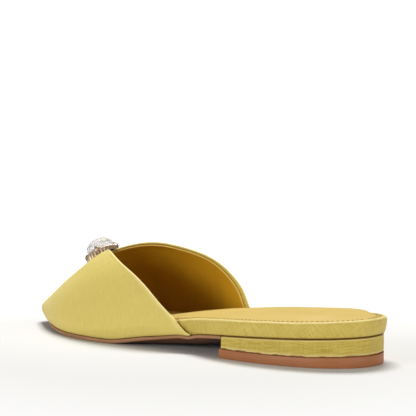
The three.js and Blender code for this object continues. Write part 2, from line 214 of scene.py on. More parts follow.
def find_origin():
    """Where station 0 and the heel's middle line lie in the frame, in millimetres."""
    low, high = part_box("heel_top_lift")
    sweeps = np.linspace(0, sweep_of(HEEL_BREAST + LIFT_FORWARD), 400)
    middle = (half_width["lateral"](sweeps).max() - half_width["medial"](sweeps).max()) / 2
    return np.array([low.x / MM - HEEL_INSET, (low.y + high.y) / 2 / MM - middle, 0])


origin = find_origin()


def in_frame(points):
    """Points in stations, millimetres, as metres in the frame."""
    return (np.asarray(points, float) + origin) * MM


# Camera and studio, with lengths in metres and the turn in degrees

CAMERA_TURN = 44.4
AMBIENT = 0.28
SOFTBOX_SIZE = (0.5, 0.4)
FILL_SIZE = (0.6, 0.4)
KEY_WATTS = 14.0
FILL_WATTS = 7.4
SIDE_WATTS = 5.0
FLOOR_RADIUS = 0.82
FLOOR_CORNERS = 96


def new_object(name, data):
    made = bpy.data.objects.new(name, data)
    bpy.context.scene.collection.objects.link(made)
    return made


def make_camera():
    """The photograph's view: from behind on the outer side, a little above the floor."""
    turn = math.radians(CAMERA_TURN)
    pitch = math.radians(4.9)
    distance = 1194.9
    focal_pixels = 2370.3
    photo_side = 416
    heel_pixel = (371.3, 367.0)
    sensor = 36
    level = math.cos(pitch)
    view = Vector((math.sin(turn) * level, -math.cos(turn) * level, -math.sin(pitch)))
    right = Vector((-math.cos(turn), -math.sin(turn), 0))
    up = right.cross(view)
    across, down = ((pixel - photo_side / 2) / focal_pixels * distance for pixel in heel_pixel)
    heel = Vector(in_frame([0, 0, 0]))
    place = heel - (view * distance + right * across - up * down) * MM
    data = bpy.data.cameras.new("photo_camera")
    data.sensor_width = sensor
    data.lens = sensor * focal_pixels / photo_side
    data.clip_end = 50
    camera = new_object("photo_camera", data)
    axes = Matrix((right, up, -view)).transposed()
    camera.matrix_world = Matrix.Translation(place) @ axes.to_4x4()
    bpy.context.scene.camera = camera


def add_light(name, place, size, power):
    """A soft light aimed at the shoe."""
    data = bpy.data.lights.new(name, "AREA")
    data.shape = "RECTANGLE"
    data.size, data.size_y = size
    data.energy = power
    lamp = new_object(name, data)
    lamp.location = place
    shoe = Vector((0, 0, 0.02))
    lamp.rotation_euler = (shoe - Vector(place)).to_track_quat("-Z", "Y").to_euler()


def toward_photo(right, nearer, up):
    """A place given as the photo shows it: to its right, nearer to the camera and up, in metres."""
    turn = math.radians(CAMERA_TURN)
    x = -right * math.cos(turn) - nearer * math.sin(turn)
    y = -right * math.sin(turn) + nearer * math.cos(turn)
    return x, y, up


def make_world():
    """White behind everything, and a weaker even light from all round."""
    world = bpy.data.worlds.new("studio")
    bpy.context.scene.world = world
    world.use_nodes = True
    tree = world.node_tree
    path = tree.nodes.new("ShaderNodeLightPath")
    mix = tree.nodes.new("ShaderNodeMixShader")
    tree.links.new(path.outputs["Is Camera Ray"], mix.inputs["Fac"])
    even = tree.nodes["Background"], (1, 0.99, 0.97, 1), AMBIENT
    white = tree.nodes.new("ShaderNodeBackground"), (1, 1, 1, 1), 1.05
    for socket, (glow, colour, strength) in enumerate((even, white), 1):
        glow.inputs["Color"].default_value = colour
        glow.inputs["Strength"].default_value = strength
        tree.links.new(glow.outputs["Background"], mix.inputs[socket])
    tree.links.new(mix.outputs["Shader"], tree.nodes["World Output"].inputs["Surface"])


def make_floor():
    mesh = bpy.data.meshes.new("floor")
    rim = [(FLOOR_RADIUS * math.cos(a), FLOOR_RADIUS * math.sin(a), 0) for a in full_turn(FLOOR_CORNERS)]
    mesh.from_pydata(rim, [], [tuple(range(FLOOR_CORNERS))])
    mesh.materials.append(floor_material())
    floor = new_object("floor", mesh)


def make_studio():
    """Pale floor, white surroundings, a softbox above and behind, and a fill on each side."""
    bpy.context.scene.view_settings.view_transform = "Standard"
    make_world()
    make_floor()
    add_light("softbox_behind", toward_photo(0.03, -0.52, 0.97), SOFTBOX_SIZE, KEY_WATTS)
    add_light("toe_side_fill", toward_photo(-1.00, 0.85, 0.32), FILL_SIZE, FILL_WATTS)
    add_light("heel_side_fill", toward_photo(0.95, 0.85, 0.32), FILL_SIZE, SIDE_WATTS)


# Materials

def linear(red, green, blue):
    """An sRGB colour given in 0 to 255 as the linear colour that nodes use."""
    return tuple(c / 12.92 if c <= 0.04045 else ((c + 0.055) / 1.055) ** 2.4
                 for c in (red / 255, green / 255, blue / 255))


class Look:
    """A material that is built up node by node. Inputs are named with _ for a space."""

    def __init__(self, name, colour, roughness, **inputs):
        self.material = bpy.data.materials.new(name)
        self.material.use_nodes = True
        self.tree = self.material.node_tree
        self.shader = self.tree.nodes["Principled BSDF"]
        self.finish(Base_Color=colour, Roughness=roughness, **inputs)

    def finish(self, **inputs):
        """Sets or links inputs of the shader and gives the material."""
        for name, value in inputs.items():
            self.connect(self.shader.inputs[name.replace("_", " ")], value)
        return self.material

    def connect(self, socket, value):
        """A number, vector or colour as the socket's own value, and anything else as a link."""
        if isinstance(value, tuple):
            socket.default_value = (*value, 1) if socket.type == "RGBA" else value
        elif isinstance(value, (int, float)):
            socket.default_value = value
        else:
            self.tree.links.new(value, socket)

    def node(self, kind, output, *values, **named):
        """One output of a new node. values fill its first inputs, names in lower case are its
        settings, and other names are inputs."""
        node = self.tree.nodes.new("ShaderNode" + kind)
        for socket, value in zip(node.inputs, values):
            self.connect(socket, value)
        for name, value in named.items():
            if name.islower():
                setattr(node, name, value)
            else:
                self.connect(node.inputs[name.replace("_", " ")], value)
        return node.outputs[output]

    def place(self):
        """Metres in the frame."""
        return self.node("TexCoord", "Object")

    def cloth(self):
        """Millimetres across and along the cloth, stored on the meshes made here."""
        return self.node("Attribute", "Vector", attribute_name="cloth")

    def fold_share(self):
        """The third number of cloth: 1 along a folded edge, which on woven cloth is a painted highlight,
        below 0 for painted shade in a crease or recess, and 0 elsewhere.
        """
        return self.node("SeparateXYZ", "Z", self.cloth())

    def noise(self, coordinates, scale, detail=3):
        """Noise of its own number of patches per unit along each axis."""
        mapped = self.node("Mapping", "Vector", Vector=coordinates, Scale=scale)
        return self.node("TexNoise", "Fac", Vector=mapped, Scale=1, Detail=detail, Roughness=0.55)

    def threads(self, coordinates, direction, per_mm):
        """Rows of slightly uneven threads, as waves of a set number per millimetre."""
        one_per_mm = math.pi / 10
        return self.node("TexWave", "Fac", wave_type="BANDS", bands_direction=direction,
                         Vector=coordinates, Scale=per_mm * one_per_mm, Distortion=1.2, Detail=1,
                         Detail_Scale=0.6)

    def weighed_sum(self, *pairs):
        """The sum of two (value, weight) pairs."""
        terms = [self.node("Math", "Value", *pair, operation="MULTIPLY") for pair in pairs]
        return self.node("Math", "Value", *terms, operation="ADD")

    def spread(self, value, low, high, to_low, to_high):
        """value rescaled from one range to another, held inside it."""
        return self.node("MapRange", "Result", value, low, high, to_low, to_high)

    def mix(self, share, first, second):
        """Two colours mixed, by the node's own sockets for colours."""
        node = self.tree.nodes.new("ShaderNodeMix")
        node.data_type = "RGBA"
        for socket, value in ((0, share), (6, first), (7, second)):
            self.connect(node.inputs[socket], value)
        return node.outputs[2]

    def tint(self, tone, other, value, low, high, share=1):
        """tone mixed with another, by up to share, as value runs from low to high."""
        return self.mix(self.spread(value, low, high, 0, share), tone, other)

    def bump(self, relief, depth, strength):
        """The normal of a relief that is depth metres high."""
        return self.node("Bump", "Normal", Strength=strength, Distance=depth, Height=relief)


def floor_material():
    """Matt white paper, greyer where the shoe stands by painted shade and palest towards its rim by
    painted light.
    """
    near = (0.69, 0.685, 0.67)
    paper = (0.86, 0.86, 0.855)
    rim = (0.98, 0.98, 0.98)
    look = Look("floor_paper", paper, 0.85, Specular_IOR_Level=0.1)
    metres = look.node("VectorMath", "Value", look.place(), operation="LENGTH")
    # Painted shade near the shoe, painted light towards the rim
    tone = look.tint(near, paper, metres, 0.13, 0.30)
    return look.finish(Base_Color=look.tint(tone, rim, metres, 0.4, 0.7))


def woven_material(name, colours, bias, across, along, relief_depth):
    """Slubby satin-faced linen with a soft sheen, a painted highlight where it is folded and painted
    shade in creases and recesses.
    colours are its middle, deep and pale tones. bias turns the threads, in degrees. across and
    along weigh the slubs that run across the shoe and along it."""
    gloss = 0.5
    middle, deep, pale = colours
    look = Look(name, middle, gloss, Sheen_Weight=0.12, Sheen_Roughness=0.35, Specular_IOR_Level=0.25)
    cloth = look.node("Mapping", "Vector", Vector=look.cloth(), Rotation=(0, 0, math.radians(bias)))
    weft_slubs = look.noise(cloth, (0.10, 2.2, 1))
    warp_slubs = look.noise(cloth, (2.4, 0.10, 1))
    fine = look.noise(cloth, (1.1, 4.6, 1), detail=4)
    mottle = look.noise(cloth, (0.05, 0.05, 1), detail=2)
    slubs = look.weighed_sum((weft_slubs, across), (warp_slubs, along))
    weave = look.weighed_sum((look.threads(cloth, "X", 2.6), 0.5), (look.threads(cloth, "Y", 2.2), 0.5))
    relief = look.weighed_sum((weave, 0.35), (slubs, 1))
    folded = look.fold_share()

    tone = look.tint(deep, middle, slubs, 0.38, 0.60)
    tone = look.tint(tone, pale, fine, 0.5, 0.75, 0.45)
    tone = look.tint(tone, deep, mottle, 0.3, 0.7, 0.25)
    # Painted highlight along folded edges where the share is above 0, painted shade in creases and
    # recesses where it is below 0
    tone = look.mix(folded, tone, PAINTED_FOLD_HIGHLIGHT)
    tone = look.tint(tone, PAINTED_CREASE_SHADE, folded, 0, -1)
    rough = look.spread(slubs, 0.3, 0.7, gloss + 0.12, gloss - 0.08)
    return look.finish(Base_Color=tone, Roughness=rough, Normal=look.bump(relief, relief_depth, 0.7))


def lining_material(name, colour, deep, fold=None):
    """Fine smooth lining cloth with a faint grain, and its own colour along a folded edge."""
    look = Look(name, colour, 0.6, Specular_IOR_Level=0.15)
    cloud = look.noise(look.cloth(), (0.05, 0.07, 1))
    grain = look.noise(look.cloth(), (2.4, 2.4, 1))
    tone = look.tint(colour, deep, cloud, 0.3, 0.7, 0.5)
    tone = look.tint(tone, deep, grain, 0.35, 0.65, 0.3)
    if fold is not None:
        tone = look.mix(look.fold_share(), tone, fold)
    rough = look.spread(grain, 0.3, 0.7, 0.5, 0.65)
    return look.finish(Base_Color=tone, Roughness=rough, Normal=look.bump(grain, 0.00006, 0.6))


def leather_material(name, colour, deep, pale, under):
    """Tan sole leather: fine pores, faint streaks along the edge, and a darker stain underneath."""
    look = Look(name, colour, 0.5, Specular_IOR_Level=0.3, Coat_Weight=0.04, Coat_Roughness=0.4)
    streaks = look.noise(look.cloth(), (1.3, 0.05, 1), detail=4)
    pores = look.noise(look.cloth(), (2.8, 2.8, 1), detail=4)
    cloud = look.noise(look.cloth(), (0.04, 0.05, 1), detail=2)
    tone = look.tint(deep, colour, streaks, 0.35, 0.65)
    tone = look.tint(tone, pale, cloud, 0.35, 0.7, 0.35)
    tone = look.mix(look.fold_share(), tone, under)
    rough = look.spread(pores, 0.3, 0.7, 0.42, 0.62)
    relief = look.weighed_sum((streaks, 0.5), (pores, 1))
    return look.finish(Base_Color=tone, Roughness=rough, Normal=look.bump(relief, 0.00008, 0.6))


def gold_material():
    """Soft old gold, tarnished in clouds."""
    look = Look("aged_gold", linear(190, 166, 138), 0.48, Metallic=1.0)
    cloud = look.noise(look.place(), (400, 400, 400))
    tone = look.tint(linear(200, 176, 148), linear(146, 120, 96), cloud, 0.35, 0.7)
    rough = look.spread(cloud, 0.3, 0.7, 0.4, 0.55)
    return look.finish(Base_Color=tone, Roughness=rough, Normal=look.bump(cloud, 0.00004, 0.5))


def crystal_material():
    """Cut glass, clear with a faint haze from dust and tiny scratches."""
    look = Look("cut_crystal", (0.95, 0.945, 0.94), 0.08, Transmission_Weight=0.55, IOR=1.5)
    haze = look.noise(look.place(), (600, 600, 600), detail=2)
    return look.finish(Roughness=look.spread(haze, 0.4, 0.8, 0.05, 0.14))


def foil_material():
    """Silvered backing under the crystal."""
    look = Look("silver_foil", (0.9, 0.9, 0.88), 0.18, Metallic=0.9)
    cloud = look.noise(look.place(), (500, 500, 500))
    rough = look.spread(cloud, 0.3, 0.7, 0.12, 0.3)
    return look.finish(Roughness=rough, Normal=look.bump(cloud, 0.00005, 0.5))


# Painted highlight for folded edges, and painted shade for creases, recesses and crevices
PAINTED_FOLD_HIGHLIGHT = linear(250, 232, 160)
PAINTED_CREASE_SHADE = linear(150, 100, 28)
UPPER_TONES = linear(220, 200, 108), linear(212, 191, 98), linear(229, 211, 126)
RAND_TONES = linear(216, 194, 102), linear(190, 164, 66), linear(236, 219, 140)
HEEL_TONES = linear(216, 192, 94), linear(180, 152, 52), linear(236, 217, 134)
finishes = {
    "fabric": woven_material("slub_satin_upper", UPPER_TONES, 40, 0.8, 0.2, 0.00016),
    "fabric_bias": woven_material("slub_satin_rand", RAND_TONES, -38, 0.6, 0.4, 0.00034),
    "fabric_heel": woven_material("slub_satin_heel", HEEL_TONES, 0, 0.35, 0.65, 0.00045),
    "sock": lining_material("sock_cloth", linear(204, 176, 92), linear(192, 161, 76)),
    "lining": lining_material("lining_cloth", linear(204, 155, 34), linear(182, 132, 22),
                              linear(226, 190, 98)),
    "sole_edge": leather_material("sole_leather", linear(168, 124, 87), linear(152, 106, 70),
                                  linear(184, 140, 102), linear(104, 64, 34)),
    "lift_tan": leather_material("lift_leather", linear(172, 110, 68), linear(158, 97, 57),
                                 linear(184, 124, 82), linear(112, 70, 42)),
    "gold": gold_material(),
    "crystal": crystal_material(),
    "foil": foil_material(),
    "thread": lining_material("dark_thread", linear(122, 90, 42), linear(98, 70, 32)),
}


# Mesh making

def grid_faces(rows, columns, wrap=False):
    """Quads over a grid of points held row by row."""
    faces = []
    for i in range(rows - 1):
        for j in range(columns if wrap else columns - 1):
            k = (j + 1) % columns
            low = i * columns
            high = low + columns
            faces.append((low + j, low + k, high + k, high + j))
    return faces


def tube_faces(rows, columns):
    """Quads round a tube of points held row by row, closed at both ends."""
    ends = [tuple(range(columns)), tuple(range((rows - 1) * columns, rows * columns))[::-1]]
    return grid_faces(rows, columns, wrap=True) + ends


def full_turn(steps):
    return np.linspace(0, 2 * math.pi, steps, endpoint=False)


def make_piece(name, points, faces, finish, slot, cloth=None, sharp=35, replaces=(), merge=0.002):
    """One closed piece from points in stations: merged, turned outwards, shaded and on the body."""
    mesh = bpy.data.meshes.new(name)
    mesh.from_pydata(in_frame(points).tolist(), [], faces)
    if cloth is not None:
        made = mesh.attributes.new("cloth", "FLOAT_VECTOR", "POINT")
        made.data.foreach_set("vector", np.asarray(cloth, np.float32).ravel())
    shape = bmesh.new()
    shape.from_mesh(mesh)
    bmesh.ops.remove_doubles(shape, verts=shape.verts, dist=merge * MM)
    bmesh.ops.dissolve_degenerate(shape, edges=shape.edges, dist=1e-7)
    bmesh.ops.recalc_face_normals(shape, faces=shape.faces)
    shape.to_mesh(mesh)
    shape.free()
    mesh.shade_smooth()
    mesh.set_sharp_from_angle(angle=math.radians(sharp))
    mesh.materials.append(finishes[finish])
    piece = new_object(name, mesh)
    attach(piece, "root")
    if replaces:
        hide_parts(*replaces)
    return piece


def edge_point(side, sweep, outwards):
    """Edge of the sole at an angle, moved outwards; x and y in millimetres."""
    sign = 1 if side == "lateral" else -1
    delta = 1e-4
    before = np.maximum(0, sweep - delta)
    after = np.minimum(np.pi, sweep + delta)
    along_x = station_of(after) - station_of(before)
    along_y = sign * (half_width[side](after) - half_width[side](before))
    size = np.hypot(along_x, along_y)
    x = station_of(sweep) - sign * along_y * outwards / size
    y = sign * half_width[side](sweep) + sign * along_x * outwards / size
    return x, y


def sweep_at(side, outwards, station):
    """The angle at which the moved edge reaches a station."""
    low = 0.0
    high = math.pi
    for _ in range(40):
        middle = (low + high) / 2
        if edge_point(side, middle, outwards)[0] < station:
            low = middle
        else:
            high = middle
    return (low + high) / 2


def shares_across(steps):
    """Shares across the shoe, closer together towards both edges."""
    return [0.5 - 0.5 * math.cos(math.pi * k / steps) for k in range(1, steps)]


ACROSS = shares_across(24)
PAD_ACROSS = shares_across(60)


def ribbed_piece(name, side, finish, slot, over=None, under=None, across=ACROSS, ribs=150, start=None,
                 end=None, fold=None, under_fold=0, **options):
    """Sole-like piece from ribs across the shoe. side holds the steps up its edge: how far each lies
    outside the outline, a number or a function of station, and its height by station. over and
    under are such a step for the top and the underside, with a height by station and share across.
    fold gives each step of side, and under_fold the underside, a share of the finish's second colour: on
    woven cloth a painted highlight on folded edges and, below 0, painted shade in a recess, and on
    leather its darker underside."""
    steps = [(*step, paint) for step, paint in zip(side, fold or [0] * len(side))]
    corners = [(0, *step) for step in steps]
    if over:
        corners += [(share, over[0], partial(over[1], share=share), 0) for share in across]
    corners += [(1, *step) for step in reversed(steps)]
    if under:
        corners += [(share, under[0], partial(under[1], share=share), under_fold)
                    for share in reversed(across)]

    columns = []
    for share, out, height, paint in corners:
        flat = 0 if callable(out) else out
        ends = []
        for edge in half_width:
            first = 0 if start is None else sweep_at(edge, flat, start)
            last = math.pi if end is None else sweep_at(edge, flat, end)
            sweep = np.linspace(first, last, ribs + 1)
            amount = out(station_of(sweep)) if callable(out) else out
            ends.append(edge_point(edge, sweep, amount))
        x = lerp(ends[0][0], ends[1][0], share)
        y = lerp(ends[0][1], ends[1][1], share)
        columns.append(np.stack([x, y, height(x)], 1))
    grid = np.stack(columns, 1)
    cloth = wrap_cloth(grid, np.array([corner[3] for corner in corners], float))
    return make_piece(name, grid.reshape(-1, 3), tube_faces(ribs + 1, len(corners)), finish, slot,
                      cloth=cloth, **options)


def run_length(grid, axis):
    """Millimetres from the first row (axis 0) or column (axis 1) of a grid of points."""
    steps = np.linalg.norm(np.diff(grid, axis=axis), axis=2)
    return np.concatenate([0 * steps.take([0], axis), np.cumsum(steps, axis)], axis)


def wrap_cloth(grid, shares):
    """Cloth coordinates over ribs: millimetres around each rib and along the shoe's edge."""
    along = run_length(grid, 0)
    return np.stack([run_length(grid, 1), along, shares + 0 * along], 2).reshape(-1, 3)


def arc_steps(out, height, radius, start, end, steps):
    """Corners on an arc in the plane across the edge: angle 0 points out, 90 up."""
    angles = np.radians(np.linspace(start, end, steps))
    return [(out + radius * math.cos(a), height + radius * math.sin(a)) for a in angles]


def bowed(share):
    """1 in the middle of the shoe and 0 at its edges."""
    return 1 - (2 * share - 1) ** 2


# Sole and heel, with every station and size in millimetres

WAIST_DIP = 0.7
CORNER_STATION = 100.5
CUPPING = 0.4
TOE_INSET = 3.2
TOE_THINNING = 0.95
LIFT_REAR = 0.55
LIFT_HOLLOW = 0.2


def waist_dip(x):
    """The sole's edge dips a little where the vamp's rear corner is pulled under."""
    return -WAIST_DIP * np.exp(-((x - CORNER_STATION) / 4.5) ** 2)


def edge_rise(x):
    """How far the sole cups up along its edge under the forefoot."""
    return CUPPING * ease(x, 115, 150) * (1 - ease(x, 225, 245))


def make_outsole():
    """Thin leather sole with a rounded edge, thinner and set in at the toe, and a waist that
    swells downwards."""
    radius = SOLE_THICK / 2
    foot_in = -1.6

    def inset(x):
        return -TOE_INSET * ease(x, 212, 238)

    def thinned(x, rise=0):
        return TOE_THINNING * ease(x, 185, 232) * (1 - rise / SOLE_THICK)

    side = [(lambda x: foot_in + inset(x), lambda x: underside(x) + waist_dip(x) * 0.8 + thinned(x))]
    for out, rise in arc_steps(-radius, radius, radius, -90, 90, 9):
        side.append((lambda x, o=out: o + inset(x),
                     lambda x, r=rise: (underside(x) + r + waist_dip(x) + edge_rise(x) * r / SOLE_THICK
                                        + thinned(x, r))))

    def top(x, share):
        return (underside(x) + SOLE_THICK - sag(x) * bowed(share)
                + (waist_dip(x) + edge_rise(x)) * (1 - bowed(share)) ** 4)

    def bottom(x, share):
        return underside(x) - sag(x) * (1 - (2 * share - 1) ** 4) + thinned(x)

    ribbed_piece("sole_leather", side, "sole_edge", "sole_tan", over=(lambda x: inset(x) - radius, top),
                 under=(lambda x: foot_in + inset(x), bottom), ribs=260, start=HEEL_BREAST + FIT_GAP,
                 fold=[1, 0.6] + [0] * (len(side) - 2), under_fold=1, replaces=("outsole",), sharp=50)


# Waves along a hand-folded edge
HAND_WAVES = (
    # radians per mm, share, start
    (0.55, 1, 0),
    (0.23, 0.8, 1),
    (1.3, 0.5, 2),
)


def hand_made(x, size):
    """A slight unevenness along an edge that is folded by hand."""
    return size * sum(share * np.sin(x * pace + start) for pace, share, start in HAND_WAVES) / 2


def lift_top(x):
    """The lift is a little thicker at the very back."""
    return LIFT_THICK + LIFT_REAR * (1 - ease(x, 0, 30)) - LIFT_HOLLOW * ease(x, 20, 60)


def make_heel():
    """Fabric-wrapped heel block, recessed in a slot under the footbed, and its top lift."""
    soft = 0.5
    slot = 2.0
    recess = 1.5

    foot = [(-HEEL_INSET - recess, lambda x: lift_top(x) - 0.05)]
    foot += [(-HEEL_INSET - soft + out,
              lambda x, rise=rise: lift_top(x) + soft + rise + hand_made(x, -0.4 * rise / soft) - 0.15)
             for out, rise in arc_steps(0, 0, soft, -90, 0, 5)]
    foot.append((-HEEL_INSET, lambda x: lift_top(x) + soft + 1.0))
    # Painted shade in the groove against the lift, a painted highlight round the rounded foot
    foot_highlight_and_shade = [-1, -0.5, 0.1, 0.5, 0.5, 0.5, 0]
    # Painted highlight on the head's rounded edge, painted shade inside the slot under the footbed
    head = (
        # inwards, drop below the footbed, share of painted highlight, below 0 of painted shade
        (0, 1.5, 0),
        (0, 1.1, 0.4),
        (0.15, 0.7, 0.4),
        (0.5, 0.5, -0.5),
        (slot, 0.4, -1),
        (slot, 0, -1),
    )
    side = foot + [(-HEEL_INSET - inwards, lambda x, drop=drop: sole_top(x) - FIT_GAP - drop)
                   for inwards, drop, share in head]

    def top(x, share):
        return sole_top(x) - FIT_GAP - sag(x) * bowed(share)

    ribbed_piece("heel_wrap", side, "fabric_heel", "fabric", over=(-HEEL_INSET - slot, top), ribs=220,
                 end=HEEL_BREAST, fold=foot_highlight_and_shade + [share for inwards, drop, share in head],
                 replaces=("heel_block",), sharp=50)

    bevel = 0.35
    rows = (
        # inwards, height, 1 where the height counts from the lift's top
        (bevel, 0, 0),
        (0.1, 0.1, 0),
        (0, bevel, 0),
        (0, -0.95, 1),
        (0.1, -0.75, 1),
        (recess - 0.05, -0.65, 1),
        (recess, -0.05, 1),
    )
    side = [(-HEEL_INSET - inwards, lambda x, height=height, part=part: height + part * lift_top(x))
            for inwards, height, part in rows]
    ribbed_piece("heel_lift", side, "lift_tan", "sole_tan", ribs=140, end=HEEL_BREAST + LIFT_FORWARD,
                 replaces=("heel_top_lift",), sharp=50)


# Footbed and sock

SOCK_REAR = 1.7
SOCK_EDGE = 0.7
SOCK_SINK = 0.1
SOCK_PAD = 2.3
HEEL_CUSHION = 0.8
PAD_SLOPE = 9.0
PAD_SLANT = 0.35


def footbed_out(x):
    """How far the footbed's edge lies outside the outline, at its lower edge."""
    wall = -(WALL + 1.6 * FIT_GAP - VAMP_LAP) * ease(x, 80, 97)
    return wall - VAMP_LAP * ease(x, 100, 138) - FOOTBED_TIP * ease(x, 222, 250)


def footbed_flare(x):
    return FOOTBED_FLARE * (1 - ease(x, 60, 96))


def footbed_top(x):
    return sole_top(x) + lerp(FOOTBED_BACK, FOOTBED_TOE, ease(x, 120, 225))


def puff(x):
    """How far the rolled edge stands over the board, most of all round the back."""
    return (0.45 + 0.4 * (1 - ease(x, 0, 22))) * (1 - ease(x, 85, 110))


def pinch(x):
    """How many millimetres the vamp's rear corners press the rolled edge in."""
    return ease(x, 90, 101)


def make_footbed():
    """Insole board wrapped in fabric, with a plump rolled edge and a shallow channel for the sock."""
    roll = 1.9
    neck = 0.8
    walls = (0, 0.02, 0.06, 0.12, 0.25, 0.4, 0.55, 0.7, neck)
    channel = (
        # inwards, drop, share of the puff
        (2.25, 0.08, 1),
        (2.5, 0.3, 0.9),
        (2.9, 0.5, 0.3),
        (3.6, 0.55, 0),
    )
    side = []
    for share in walls:
        tuck = 0.7 * max(0, 1 - share / 0.08) ** 2
        belly = 0.25 * math.sin(math.pi * share)

        def out(x, share=share, tuck=tuck, belly=belly):
            return footbed_out(x) + footbed_flare(x) * share**0.7 - tuck + belly - pinch(x)

        def height(x, share=share):
            low = sole_top(x) + waist_dip(x) * max(0, 1 - 3 * share)
            return lerp(low, footbed_top(x) + puff(x) - roll, share / neck)

        side.append((out, height))
    for across, rise in arc_steps(-roll, -roll, roll, 8, 90, 9):
        side.append((lambda x, o=across: (footbed_out(x) + footbed_flare(x) + o
                                          + hand_made(x, 0.12) - pinch(x)),
                     lambda x, r=rise: footbed_top(x) + puff(x) + r + hand_made(x + 40, 0.1)))
    for inwards, drop, share in channel:
        side.append((lambda x, i=inwards: footbed_out(x) + footbed_flare(x) - i - pinch(x),
                     lambda x, d=drop, s=share: footbed_top(x) + puff(x) * s - d))

    def bottom(x, share):
        return (sole_top(x) - FOOTBED_HANG * sag(x) * bowed(share)
                + waist_dip(x) * (1 - bowed(share)) ** 4)

    # Painted highlight along the crest of the rolled edge
    crest_highlight = [0.15, 0.35, 0.5, 0.5, 0.35, 0.15]
    below = [0] * (len(walls) + 3)
    beyond = [0] * (len(side) - len(below) - len(crest_highlight))
    ribbed_piece("footbed_wrap", side, "fabric_bias", "fabric", ribs=260, fold=below + crest_highlight + beyond,
                 under=(lambda x: footbed_out(x) - pinch(x), bottom), replaces=("footbed",), sharp=60)


def sock_out(x):
    """How far the sock's edge lies outside the outline."""
    rear = SOCK_REAR * (1 - ease(x, 6, 36))
    return footbed_out(x) + footbed_flare(x) - SOCK_INSET - rear - SOCK_TIP * ease(x, 190, 240)


def sock_height(x, share):
    """Top of the padded sock: thin where it is stitched down and full further in, with a longer
    slope on the outer side and at the ends."""
    width = half_width["lateral"](sweep_of(x)) + half_width["medial"](sweep_of(x)) + 2 * sock_out(x)
    from_side = np.minimum(share * (1 - PAD_SLANT), (1 - share) * (1 + PAD_SLANT)) * np.maximum(width, 0)
    from_end = np.minimum(x - (SOCK_INSET + SOCK_REAR - FOOTBED_FLARE), LENGTH - x)
    fullness = ease(from_side, 0, PAD_SLOPE) * ease(from_end, 0, 2.2 * PAD_SLOPE)
    rise = SOCK_PAD + HEEL_CUSHION * (1 - ease(x, 25, 65)) - SOCK_EDGE
    return footbed_top(x) + SOCK_EDGE - SOCK_SINK + rise * fullness


def make_sock():
    """Thin padded sock with a rolled edge that lies in the footbed's channel."""
    radius = SOCK_EDGE / 2
    side = [(lambda x, o=out: sock_out(x) - radius + o,
             lambda x, r=rise: footbed_top(x) - SOCK_SINK + radius + r)
            for out, rise in arc_steps(0, 0, radius, -90, 90, 7)]

    def edge(x):
        return sock_out(x) - radius

    def bottom(x, share):
        return footbed_top(x) - SOCK_SINK

    sock = ribbed_piece("sock", side, "sock", "sock", over=(edge, sock_height), under=(edge, bottom),
                        across=PAD_ACROSS, ribs=220, replaces=("insole_sock",), sharp=60)


def make_stitches():
    """A row of short stitches round the edge of the sock, each sunk a little at its ends."""
    inset = 0.9
    pitch = 2.6
    length = 1.5
    thread = 0.2
    sides = 6
    first = 2.0
    last = 150.0
    sunk = np.array([0.22, 0.04, 0, 0.04, 0.22])
    points = []
    faces = []
    for side in half_width:
        sweep = np.linspace(0, sweep_of(last), 1500)
        x, y = edge_point(side, sweep, sock_out(station_of(sweep)) - inset)
        path = np.stack([x, y, footbed_top(x) + SOCK_EDGE - SOCK_SINK + 0.06], 1)
        run = np.concatenate([[0], np.cumsum(np.linalg.norm(np.diff(path, axis=0), axis=1))])
        for begin in np.arange(first, run[-1] - length, pitch):
            at = begin + length * np.linspace(0, 1, len(sunk))
            spots = np.stack([np.interp(at, run, path[:, k]) for k in range(3)], 1)
            spots[:, 2] -= sunk
            along = unit(spots[-1] - spots[0])
            across = np.array([-along[1], along[0], 0])
            up = np.array([0, 0, 1])
            base = len(points)
            for spot in spots:
                points += [spot + thread * (across * math.cos(a) + up * math.sin(a))
                           for a in full_turn(sides)]
            faces += [tuple(base + i for i in face) for face in tube_faces(len(sunk), sides)]
    make_piece("sock_stitches", points, faces, "thread", "sock", merge=0.0001, sharp=80)


# Vamp, with every turn in degrees

THROAT_LIFT = 1.0
THROAT_STATION = 193
THROAT_SPREAD = 11
# Widths and share of the painted highlights along the vamp's folded edge
FOLD_WIDTH = 0.45
EDGE_HIGHLIGHT_WIDTH = 2.2
EDGE_HIGHLIGHT_SHARE = 0.35
RIM_RADIUS = 0.6
RIM_STEPS = 8
TURN_STEPS = 200
LENGTH_STEPS = 130


def vamp_point(station, turn):
    """Outer surface: turn 0 is the outer edge, 90 the ridge and 180 the inner edge."""
    angle = np.radians(turn)
    sweep = sweep_of(station)
    lateral = turn <= 90
    sign = np.where(lateral, 1, -1)
    full = np.where(lateral, FULL_LATERAL, FULL_MEDIAL)
    sideways = np.abs(np.cos(angle)) ** (2 / full)
    upwards = np.abs(np.sin(angle)) ** (2 / full)
    lap = VAMP_LAP * (1 - ease(station, 100, 138))
    outer = half_width["lateral"](sweep)
    inner = half_width["medial"](sweep)
    ridge_y = (outer - inner) / 2 + ridge_offset(sweep)
    reach = np.where(lateral, outer + lap - ridge_y, inner + lap + ridge_y)
    rise = upwards * np.maximum(0, ridge_height(sweep))
    swell = ease(rise, 0, BULGE_HEIGHT)
    room = np.sqrt(np.clip((LENGTH - station) / 40, 0, 1)) * ease(station, 100, 140)
    nose = np.clip((station - 195) / 55, 0, 1) ** 2
    return np.stack([
        station + TOE_NOSE * nose * swell,
        ridge_y + sign * sideways * (reach + VAMP_BULGE * swell * room),
        sole_top(station) + rise,
    ], -1)


